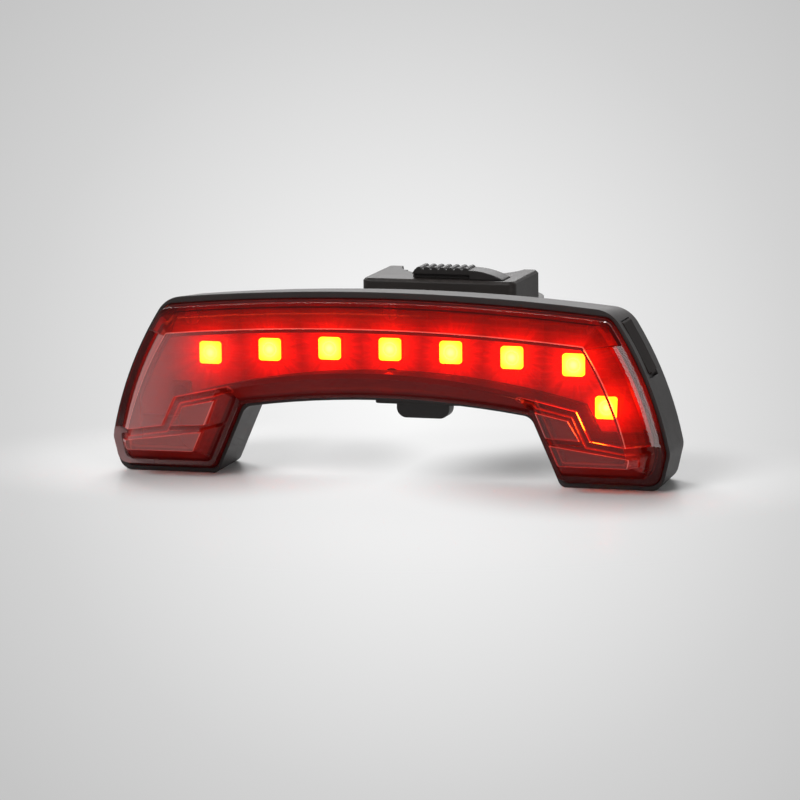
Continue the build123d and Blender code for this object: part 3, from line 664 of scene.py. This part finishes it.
@dataclass(frozen=True)
class LitPlate(Finish):
    """A surface behind the lens with a painted red glow round each lamp that is lit: painted light
    of the lamps, with painted streaks and a painted halo ring.
    """

    colour: Colour
    second: Colour
    near_mm: float
    far_mm: float
    far_share: float
    share: float
    halo: float = 0.0
    rough: float = 0.35
    strength: float = 8.0
    # glow: colour of the painted light of the lamps on the plate
    glow: Colour = (0.20, 0.003, 0.0005)
    clouds_mm: float = 5.0
    above_mm: Span = (3.0, 7.5)
    above_share: float = 0.78
    # painted halo ring round each lamp
    painted_halo: Colour = (0.45, 0.020, 0.002)
    ring_mm: float = 4.3
    ring_edge: Span = (0.0, 2.4)
    front_facing: Span = (0.0, 0.6)
    lane_mm: float = 1.7
    lane_turn_mm: float = 9.0
    cross_mm: float = 5.3
    cross_turn_mm: float = 4.0
    trace_depth_mm: float = 0.03

    def paint(self, r: Recipe) -> None:
        """Adds the plate's nodes.

        Args:
            r: the recipe to add to.
        """
        lamps = LampRow()
        away, angle, number = lamps.from_nearest(r)
        # painted light of the lamps: glow falling off with distance, streaks, less of it just above
        # each lamp, more on front faces
        rays = lamps.rays(r, angle, number)
        clouds = r.noise(self.clouds_mm)
        near = (away * away).fading(self.near_mm**2)
        far = away.fading(self.far_mm) * self.far_share
        above = (away * angle.maths("SINE")).within(self.above_mm) * self.above_share
        glow = (near + far) * (1.0 - above) * (0.45 + rays * 1.1) * (0.6 + clouds * 0.8)
        front = (r.facing()[1] * -1.0).within(self.front_facing) * 0.75 + 0.25
        painted_halo = (self.ring_mm - away + rays * 1.6).within(self.ring_edge) * front
        shine = r.blend(BLACK, self.glow, (glow * self.share * front).lowest(1.0))
        shine = r.blend(shine, self.painted_halo, painted_halo * self.halo)
        traces = self.traces(r)
        height = traces + r.noise(0.6) * 0.3
        r.finish({
            "Base Color": r.blend(self.colour, self.second, traces),
            "Roughness": self.rough + clouds * 0.15,
            "Emission Color": shine, "Emission Strength": self.strength,
            "Normal": r.bumped(height, self.trace_depth_mm),
        })

    def traces(self, r: Recipe) -> Shade:
        """Adds copper traces under the solder mask, as raised lines of right angles.

        Args:
            r: the recipe to add to.

        Returns:
            A mask of the traces.
        """
        x, _, z = r.axes()
        lanes = z / self.lane_mm + (x / self.lane_turn_mm).maths("ROUND") * 0.37
        cross = x / self.cross_mm + (z / self.cross_turn_mm).maths("ROUND") * 0.61
        lanes, cross = lanes.maths("FRACT"), cross.maths("FRACT")
        along = lanes.within((0.0, 0.06)) - lanes.within((0.22, 0.28))
        return along.highest(cross.within((0.0, 0.03)) - cross.within((0.08, 0.11)))


@dataclass(frozen=True)
class LampPackage(Finish):
    """The square lamp bodies: lit amber ones, and one unlit one in the left leg, whose body is
    painted darker as shade instead of cream.
    """

    name: str = "lamp_package"
    strength: float = 34.0
    rim: Colour = (1.0, 0.95, 0.05)
    middle: Colour = (1.0, 1.0, 0.35)
    middle_mm: Span = (1.6, 3.0)
    # painted shade: the unlit left lamp's body, painted darker than the cream of the others
    painted_shade: Colour = (0.16, 0.10, 0.07)
    cream: Colour = (0.80, 0.74, 0.56)
    front_y: Span = (-32.3, -31.6)

    def paint(self, r: Recipe) -> None:
        """Adds the lamp bodies' nodes.

        Args:
            r: the recipe to add to.
        """
        x, y, _ = r.axes()
        lamps = LampRow()
        lit, grain = lamps.lit(x), r.noise(0.7)
        middle = lamps.from_nearest(r)[0].outside(self.middle_mm)
        amber = r.blend(self.rim, self.middle, middle * 0.8 + grain * 0.2)
        r.finish({
            # the unlit left lamp gets the painted shade colour, the lit ones cream
            "Base Color": r.blend(self.painted_shade, self.cream, lit * (0.8 + grain * 0.2)),
            "Roughness": 0.38 + grain * 0.2,
            "Emission Color": r.blend(BLACK, amber, lit * y.outside(self.front_y)),
            "Emission Strength": self.strength,
            "Normal": r.bumped(grain, 0.02),
        })


@dataclass(frozen=True)
class LampFill(Finish):
    """The clear fill over each lamp's chip, brightest in the middle."""

    name: str = "lamp_fill"
    strength: float = 60.0
    rim: Colour = (1.0, 0.80, 0.30)
    middle: Colour = (1.0, 0.97, 0.85)
    middle_mm: Span = (0.2, 1.3)
    # painted shade: the unlit left lamp's fill, painted darker than the amber of the others
    painted_shade: Colour = (0.07, 0.03, 0.015)
    amber: Colour = (0.88, 0.74, 0.30)

    def paint(self, r: Recipe) -> None:
        """Adds the fills' nodes.

        Args:
            r: the recipe to add to.
        """
        lamps = LampRow()
        lit, grain = lamps.lit(r.axes()[0]), r.noise(0.5, detail=2.0)
        middle = lamps.from_nearest(r)[0].outside(self.middle_mm)
        hot = r.blend(self.rim, self.middle, middle * 0.8 + grain * 0.2)
        r.finish({
            # the unlit left lamp's fill gets the painted shade colour, the lit ones amber
            "Base Color": r.blend(self.painted_shade, self.amber, lit * (0.7 + middle * 0.3)),
            "Roughness": 0.12 + grain * 0.1, "Coat Weight": 0.5,
            "Emission Color": r.blend(BLACK, hot, lit), "Emission Strength": self.strength,
            "Normal": r.bumped(grain, 0.01),
        })


@dataclass(frozen=True)
class CellFoil(Finish):
    """Foil pouch of a flat cell, creased, with amber tape along its top edge."""

    name: str = "cell_foil"
    foil: Colour = (0.60, 0.60, 0.62)
    crease: Colour = (0.42, 0.42, 0.44)
    crease_mm: float = 3.5
    crease_depth_mm: float = 0.15
    crease_reach: Span = (0.5, 0.75)
    tape: Colour = (0.62, 0.36, 0.06)
    tape_z: Span = (33.0, 33.3)

    def paint(self, r: Recipe) -> None:
        """Adds the foil's nodes.

        Args:
            r: the recipe to add to.
        """
        creases = r.noise(self.crease_mm, detail=6.0, rough=0.7)
        tape = r.axes()[2].within(self.tape_z)
        base = r.blend(self.foil, self.tape, tape)
        r.finish({
            "Base Color": r.blend(base, self.crease, creases.within(self.crease_reach) * 0.4),
            "Metallic": 1.0 - tape * 0.9, "Roughness": 0.28 + creases * 0.2,
            "Normal": r.bumped(creases, self.crease_depth_mm),
        })


@dataclass(frozen=True)
class ChipPackage(Finish):
    """Black chip package with fine moulding grain, and tinned feet next to the board."""

    name: str = "chip_package"
    black: Colour = (0.022, 0.022, 0.024)
    grey: Colour = (0.045, 0.045, 0.047)
    tin: Colour = (0.60, 0.60, 0.58)
    foot_pitch_mm: float = 0.65
    foot_edge: Span = (0.45, 0.55)
    feet_y: Span = (-29.25, -29.1)

    def paint(self, r: Recipe) -> None:
        """Adds the chip's nodes.

        Args:
            r: the recipe to add to.
        """
        x, y, z = r.axes()
        grain = r.noise(0.25)
        across = (x / self.foot_pitch_mm).maths("FRACT").within(self.foot_edge)
        up = (z / self.foot_pitch_mm).maths("FRACT").within(self.foot_edge)
        feet = across.highest(up) * y.outside(self.feet_y)
        base = r.blend(self.black, self.grey, grain)
        r.finish({
            "Base Color": r.blend(base, self.tin, feet), "Metallic": feet,
            "Roughness": 0.5 + grain * 0.15, "Normal": r.bumped(grain, 0.01),
        })


@dataclass(frozen=True)
class StudioFloor(Finish):
    """Pale smooth sheet with a painted pool of light: brightest behind the light and dimmer all
    round.

    The pool is painted through a round mask. The mask is a cone from one point, and the sheet is
    painted where the cone meets it. Near the feet the sheet is plain paper, so that the shadow of
    the light shows there. Lengths are in metres.
    """

    name: str = "studio_floor"
    cone_from: Triple = (0.3225, -1.0782, 0.1980)
    cone_along: Triple = (-0.2857, 0.9444, -0.1628)
    # tones: the painted pool of light, as (spread, grey) pairs from the middle outwards
    tones: tuple[Point, ...] = (
        (0.0, 0.955), (0.026, 0.87), (0.044, 0.80), (0.068, 0.70), (0.080, 0.65), (0.112, 0.56),
    )
    rough: float = 0.24
    shine: float = 0.22
    foot_x: float = 0.0515
    foot_y: float = -0.020
    foot_reach: Span = (0.020, 0.058)
    foot_share: float = 0.94
    wide_reach: Span = (0.08, 0.14)

    def paint(self, r: Recipe) -> None:
        """Adds the sheet's nodes: paper, with the painted pool of light over it where it is seen.

        Args:
            r: the recipe to add to.
        """
        place = r.place()
        tone = self.tone(r, place)
        paper = r.node("ShaderNodeBsdfPrincipled", inputs={
            "Base Color": tone, "Roughness": self.rough + r.noise(2.0, detail=2.0) * 0.02,
            "Specular IOR Level": self.shine,
        })
        glow = r.node("ShaderNodeEmission", inputs={"Color": tone, "Strength": 1.0})
        path = r.node("ShaderNodeLightPath")
        seen = Shade(r, path.outputs["Is Camera Ray"])
        for name in ("Is Glossy Ray", "Is Transmission Ray"):
            seen = seen.highest(Shade(r, path.outputs[name]))
        r.mixed(paper, glow, seen * self.from_feet(r, place))

    def tone(self, r: Recipe, place: Shade) -> Shade:
        """Works out the painted pool of light: how bright the mask leaves each point.

        Args:
            r: the recipe to add to.
            place: the point.

        Returns:
            The tone, as a grey.
        """
        kind = "ShaderNodeVectorMath"
        spoke = r.value(kind, {"operation": "SUBTRACT"}, {0: place, 1: self.cone_from})
        ray = r.value(kind, {"operation": "NORMALIZE"}, {0: spoke})
        along = r.value(kind, {"operation": "DOT_PRODUCT"}, {0: ray, 1: self.cone_along}, "Value")
        spread = (1.0 - along * along).highest(0.0) ** 0.5
        widest = self.tones[-1][0]
        stops = [(reach / widest, (tone, tone, tone)) for reach, tone in self.tones]
        return r.value("ShaderNodeValToRGB", {"stops": stops}, {0: (spread / widest).lowest(1.0)})

    def from_feet(self, r: Recipe, place: Shade) -> Shade:
        """Finds what is away from the feet, where the plain tone takes over.

        Args:
            r: the recipe to add to.
            place: the point.

        Returns:
            A mask that is 0 next to the feet and 1 well away from them.
        """
        x, y, _ = r.parts(place)
        across, deep = x.unsigned() - self.foot_x, y - self.foot_y
        foot = (across * across + deep * deep) ** 0.5
        middle = r.value("ShaderNodeVectorMath", {"operation": "LENGTH"}, {0: place}, "Value")
        wide = middle.within(self.wide_reach) * (1.0 - self.foot_share)
        return foot.within(self.foot_reach) * self.foot_share + wide


@dataclass
class HousingParts:
    """The housing with its clip, flap and button, and the screws of the clip and the clamp."""

    shell: Finish = MouldedPlastic("housing_black")
    clip: Finish = MouldedPlastic("clip_black", (0.017, 0.015, 0.015), (0.026, 0.022, 0.021))
    flap: Finish = Rubber(
        "flap_rubber", (0.014, 0.010, 0.009), (0.026, 0.019, 0.018), rough=0.8, shine=0.10,
    )
    button: Finish = Rubber("button_rubber")
    seals: Finish = Rubber("seal_rubber", rough=0.6)
    screws: Finish = Metal("screw_zinc", (0.42, 0.42, 0.43), (0.24, 0.23, 0.22))

    def dress(self) -> None:
        """Dresses the outside parts of the light."""
        self.shell.onto("rear_housing")
        self.clip.onto("rear_clip")
        self.flap.onto("usb_flap")
        self.button.onto("power_button")
        self.seals.onto("lens_gasket", "button_seal")
        self.screws.onto("clip_screws", "clamp_screws", "clamp_nuts")


@dataclass
class LensParts:
    """The red lens."""

    lens: Finish = ClearLens()

    def dress(self) -> None:
        """Dresses the lens."""
        self.lens.onto("outer_lens")


@dataclass
class LampParts:
    """Lamps, board, surround and what sits on the board."""

    # The screw heads, the surround and the board carry the painted red glow of the lamps.
    screws: Finish = LitPlate(
        "lit_screw_heads", (0.45, 0.10, 0.09), (0.30, 0.08, 0.07),
        near_mm=6.5, far_mm=9.0, far_share=0.45, share=0.7, rough=0.25,
    )
    surround: Finish = LitPlate(
        "surround_plate", (0.034, 0.006, 0.006), (0.042, 0.009, 0.008),
        near_mm=6.0, far_mm=7.5, far_share=0.25, share=0.30,
    )
    board: Finish = LitPlate(
        "solder_mask", (0.17, 0.008, 0.007), (0.24, 0.018, 0.014),
        near_mm=6.2, far_mm=7.0, far_share=0.32, share=0.90, halo=0.12,
    )
    packages: Finish = LampPackage()
    fills: Finish = LampFill()
    chips: Finish = ChipPackage()
    can: Finish = Metal("tinned_can", (0.62, 0.62, 0.60), (0.46, 0.45, 0.42), 0.36)
    wire: Finish = Metal("copper_wire", (0.80, 0.40, 0.22), (0.44, 0.22, 0.14), 0.25)
    steel: Finish = Metal("stamped_steel", (0.60, 0.60, 0.61), (0.40, 0.40, 0.41), 0.28)
    foil: Finish = CellFoil()
    foam: Finish = Rubber("cell_foam", (0.060, 0.060, 0.062), (0.11, 0.11, 0.11), 0.85, 0.3)
    switch: Finish = MouldedPlastic(
        "switch_body", (0.035, 0.035, 0.037), (0.05, 0.05, 0.05), rough=0.5, grain_mm=0.2,
    )

    def dress(self) -> None:
        """Dresses all that is inside the housing."""
        self.screws.onto("inside_screws")
        self.surround.onto("led_surround")
        self.board.onto("led_board")
        self.packages.onto("led_lamps")
        self.fills.onto("led_domes")
        self.chips.onto("control_chip", "charger_chip")
        self.can.onto("receiver_module")
        self.wire.onto("receiver_antenna")
        self.steel.onto("usb_socket")
        self.foil.onto("battery_cell_left", "battery_cell_right")
        self.foam.onto("battery_pad_left", "battery_pad_right")
        self.switch.onto("power_switch")


@dataclass
class ClampParts:
    """Bracket, rear clamp, linings and the lock."""

    bracket: Finish = MouldedPlastic(
        "bracket_black", (0.012, 0.010, 0.009), (0.019, 0.014, 0.012), rough=0.48,
    )
    slider: Finish = MouldedPlastic(
        "slider_black", (0.011, 0.010, 0.010), (0.017, 0.014, 0.013),
        rough=0.42, grain_mm=0.3, grain_depth_mm=0.012,
    )
    grip: Finish = Rubber("grip_rubber", rough=0.74)

    def dress(self) -> None:
        """Dresses the seatpost clamp."""
        self.bracket.onto("bracket", "rear_clamp")
        self.slider.onto("lock_slider")
        self.grip.onto("saddle_pad", "clamp_pad")


@dataclass(frozen=True)
class SoftBox:
    """One soft rectangular lamp of the studio, with lengths in metres and its power in watts."""

    name: str
    place: Triple
    aim: Triple
    size: Span
    power: float

    def build(self) -> None:
        """Makes the lamp and turns it to its aim."""
        lamp = bpy.data.lights.new(self.name, "AREA")
        lamp.shape = "RECTANGLE"
        lamp.size, lamp.size_y = self.size
        lamp.energy = self.power
        place, aim = Vector(self.place), Vector(self.aim)
        holder = bpy.data.objects.new(self.name, lamp)
        holder.location = place
        holder.rotation_mode = "QUATERNION"
        holder.rotation_quaternion = (aim - place).to_track_quat("-Z", "Y")
        bpy.context.scene.collection.objects.link(holder)
        log.info("placed %s", self.name)


@dataclass
class Studio:
    """Floor, backdrop and soft lamps, in metres."""

    half_width: float = 3.0
    front: float = -1.2
    bend_start: float = 1.6
    bend_radius: float = 0.8
    steps: int = 24
    top: float = 3.0
    world_level: float = 0.16
    floor: Finish = StudioFloor()
    boxes: list[SoftBox] = field(default_factory=lambda: [
        SoftBox("back_box", (-0.33, 0.80, 0.80), (0.0, 0.0, 0.02), (0.9, 0.6), 14.0),
        SoftBox("front_left_box", (-0.36, -0.78, 0.72), (0.0, 0.0, 0.02), (0.45, 0.45), 8.0),
        SoftBox("right_strip", (0.49, -0.71, 0.172), (0.055, -0.04, 0.02), (0.24, 0.33), 2.2),
    ])

    def build(self) -> None:
        """Makes the floor with its rising back, the lamps and the world."""
        self.build_floor()
        for box in self.boxes:
            box.build()
        self.build_world()

    def build_floor(self) -> None:
        """Makes one sheet: flat, then curved up behind."""
        profile = [(self.front, 0.0), (self.bend_start, 0.0)]
        for i in range(1, self.steps + 1):
            turn = math.pi / 2 * i / self.steps
            profile.append((self.bend_start + self.bend_radius * math.sin(turn),
                            self.bend_radius * (1 - math.cos(turn))))
        profile.append((profile[-1][0], self.top))
        points = [(side * self.half_width, y, z) for y, z in profile for side in (-1, 1)]
        faces = [(2 * i, 2 * i + 1, 2 * i + 3, 2 * i + 2) for i in range(len(profile) - 1)]
        mesh = bpy.data.meshes.new("studio_sweep")
        mesh.from_pydata(points, [], faces)
        mesh.polygons.foreach_set("use_smooth", [True] * len(faces))
        mesh.materials.append(self.floor.build())
        sweep = bpy.data.objects.new("studio_sweep", mesh)
        bpy.context.scene.collection.objects.link(sweep)
        log.info("built the studio floor")

    def build_world(self) -> None:
        """Makes a plain grey world at a low level."""
        world = bpy.data.worlds.new("studio_world")
        world.use_nodes = True
        background = world.node_tree.nodes["Background"]
        background.inputs["Color"].default_value = (1.0, 1.0, 1.0, 1.0)
        background.inputs["Strength"].default_value = self.world_level
        bpy.context.scene.world = world
        bpy.context.scene.view_settings.view_transform = "Standard"


@dataclass
class PhotoCamera:
    """Camera at the photograph's angle, fitted to the places of the lamps, feet and corners."""

    azimuth_deg: float = 16.83
    elevation_deg: float = 9.37
    roll_deg: float = -0.70
    distance: float = 1.105
    lens_mm: float = 225.0
    sensor_mm: float = 36.0
    sight: Span = (0.05, 20.0)
    target: Triple = (0.00305, -0.03558, 0.0181)

    def build(self) -> None:
        """Makes the camera and sets it as the scene's."""
        a, e, r = (math.radians(v) for v in (self.azimuth_deg, self.elevation_deg, self.roll_deg))
        forward = Vector((-math.sin(a) * math.cos(e), math.cos(a) * math.cos(e), -math.sin(e)))
        right = Vector((math.cos(a), math.sin(a), 0.0))
        up = right.cross(forward)
        turned_right = right * math.cos(r) + up * math.sin(r)
        turned_up = up * math.cos(r) - right * math.sin(r)
        place = Vector(self.target) - forward * self.distance
        axes = Matrix((turned_right, turned_up, -forward)).transposed().to_4x4()
        camera = bpy.data.cameras.new("photo_camera")
        camera.lens = self.lens_mm
        camera.sensor_width = self.sensor_mm
        camera.clip_start, camera.clip_end = self.sight
        holder = bpy.data.objects.new("photo_camera", camera)
        holder.matrix_world = Matrix.Translation(place) @ axes
        bpy.context.scene.collection.objects.link(holder)
        bpy.context.scene.camera = holder
        log.info("placed the camera")


def main() -> None:
    """Builds and dresses everything in order."""
    PhotoCamera().build()
    Studio().build()
    for parts in (HousingParts(), LensParts(), LampParts(), ClampParts()):
        parts.dress()
        log.info("finished %s", type(parts).__name__)


if __name__ == "__main__":
    main()
